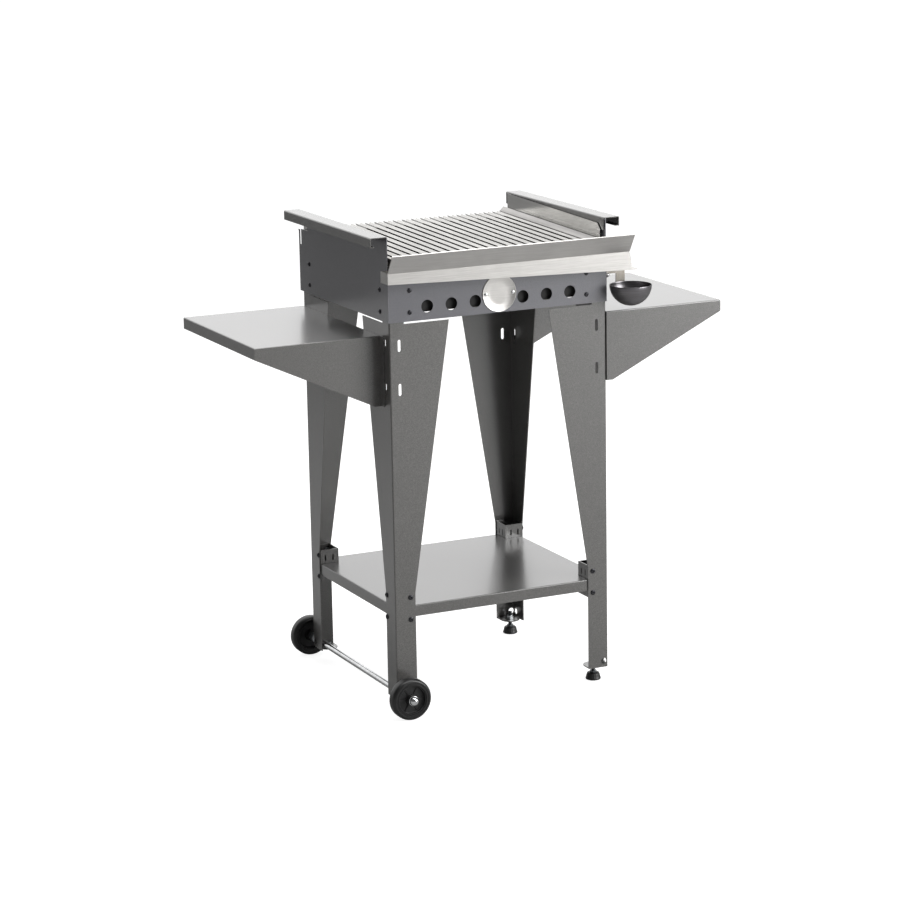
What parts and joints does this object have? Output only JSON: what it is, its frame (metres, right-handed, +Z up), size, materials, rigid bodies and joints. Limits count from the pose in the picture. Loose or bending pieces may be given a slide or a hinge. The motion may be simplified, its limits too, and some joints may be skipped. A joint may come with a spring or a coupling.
{
  "type": "charcoal grill",
  "caption": "Charcoal grill with a sloping grate of V bars, grease gutter and drip bowl, on a sheet-metal stand with shelves, wheels and levelling feet.",
  "frame": {"origin": "on the floor under the middle of the firebox and of the whole stand", "axes": "+Z up; +X to the user's right, towards the drip bowl and the levelling feet; -Y towards the user and the grease gutter"},
  "size_m": [0.9526, 0.5374, 0.912],
  "materials": {
    "stand_paint": "fine textured iron grey powder coat",
    "firebox_paint": "satin anthracite powder coat",
    "stainless": "brushed stainless steel",
    "spun_steel": "spun stainless steel",
    "strap_steel": "satin stainless steel",
    "firebox_steel": "matt black heat resistant paint",
    "rod_steel": "black bare steel",
    "dark_screws": "black oxide steel",
    "zinc": "zinc plated steel",
    "chrome": "bright chrome plate",
    "tyre_rubber": "moulded black rubber",
    "hub_plastic": "moulded black plastic",
    "foot_plastic": "moulded black plastic"
  },
  "bodies": {
    "stand": {"axle": "chrome", "axle_caps": "chrome", "badge": "stainless", "badge_rivets": "chrome", "bowl_stud": "chrome", "bracket_bolts": "dark_screws", "bracket_nuts": "zinc", "charcoal_grate": "rod_steel", "corner_bracket_front_left": "stand_paint", "corner_bracket_front_right": "stand_paint", "corner_bracket_rear_left": "stand_paint", "corner_bracket_rear_right": "stand_paint", "face_panel_screws": "dark_screws", "fire_tray": "firebox_steel", "front_panel": "firebox_paint", "grate_ledge_left": "firebox_steel", "grate_ledge_right": "firebox_steel", "handle_rail_left": "stand_paint", "handle_rail_right": "stand_paint", "leg_front_left": "stand_paint", "leg_front_right": "stand_paint", "leg_rear_left": "stand_paint", "leg_rear_right": "stand_paint", "lower_shelf": "stand_paint", "rear_panel": "firebox_paint", "side_panel_left": "firebox_paint", "side_panel_right": "firebox_paint", "side_panel_screws": "dark_screws", "tray_ledge_left": "firebox_steel", "tray_ledge_right": "firebox_steel", "weld_nuts": "zinc", "wheel_spacers": "zinc"},
    "cooking_grate": {"grate_bars": "stainless", "grate_edge_left": "stainless", "grate_edge_right": "stainless", "grate_cross_bars": "stainless", "grate_side_left": "stainless", "grate_side_right": "stainless"},
    "gutter": {"grease_gutter": "stainless"},
    "drip_cup": {"drip_bowl": "spun_steel", "bowl_hanger": "strap_steel"},
    "left_shelf": {"side_shelf_left": "stand_paint"},
    "right_shelf": {"side_shelf_right": "stand_paint"},
    "front_wheel": {"tyre_front": "tyre_rubber", "hub_front": "hub_plastic"},
    "rear_wheel": {"tyre_rear": "tyre_rubber", "hub_rear": "hub_plastic"},
    "front_foot": {"foot_base_front": "foot_plastic", "foot_stem_front": "zinc"},
    "rear_foot": {"foot_base_rear": "foot_plastic", "foot_stem_rear": "zinc"}
  },
  "joints": [
    {"name": "grate_lift", "type": "slide", "parent": "stand", "child": "cooking_grate", "axis": [0, 0, 1], "range_m": [0, 0.08]},
    {"name": "gutter_pull", "type": "slide", "parent": "stand", "child": "gutter", "axis": [0, -1, 0], "range_m": [0, 0.04]},
    {"name": "drip_cup_lift", "type": "slide", "parent": "stand", "child": "drip_cup", "axis": [0, 0, 1], "range_m": [0, 0.024]},
    {"name": "left_shelf_lift", "type": "slide", "parent": "stand", "child": "left_shelf", "axis": [0, 0, 1], "range_m": [0, 0.012]},
    {"name": "right_shelf_lift", "type": "slide", "parent": "stand", "child": "right_shelf", "axis": [0, 0, 1], "range_m": [0, 0.012]},
    {"name": "front_wheel_spin", "type": "hinge", "parent": "stand", "child": "front_wheel", "pos_m": [-0.217, 0, 0.04], "axis": [0, 1, 0], "continuous": true},
    {"name": "rear_wheel_spin", "type": "hinge", "parent": "stand", "child": "rear_wheel", "pos_m": [-0.217, 0, 0.04], "axis": [0, 1, 0], "continuous": true},
    {"name": "front_foot_screw", "type": "slide", "parent": "stand", "child": "front_foot", "axis": [0, 0, 1], "range_m": [-0.012, 0.008]},
    {"name": "rear_foot_screw", "type": "slide", "parent": "stand", "child": "rear_foot", "axis": [0, 0, 1], "range_m": [-0.012, 0.008]}
  ]
}
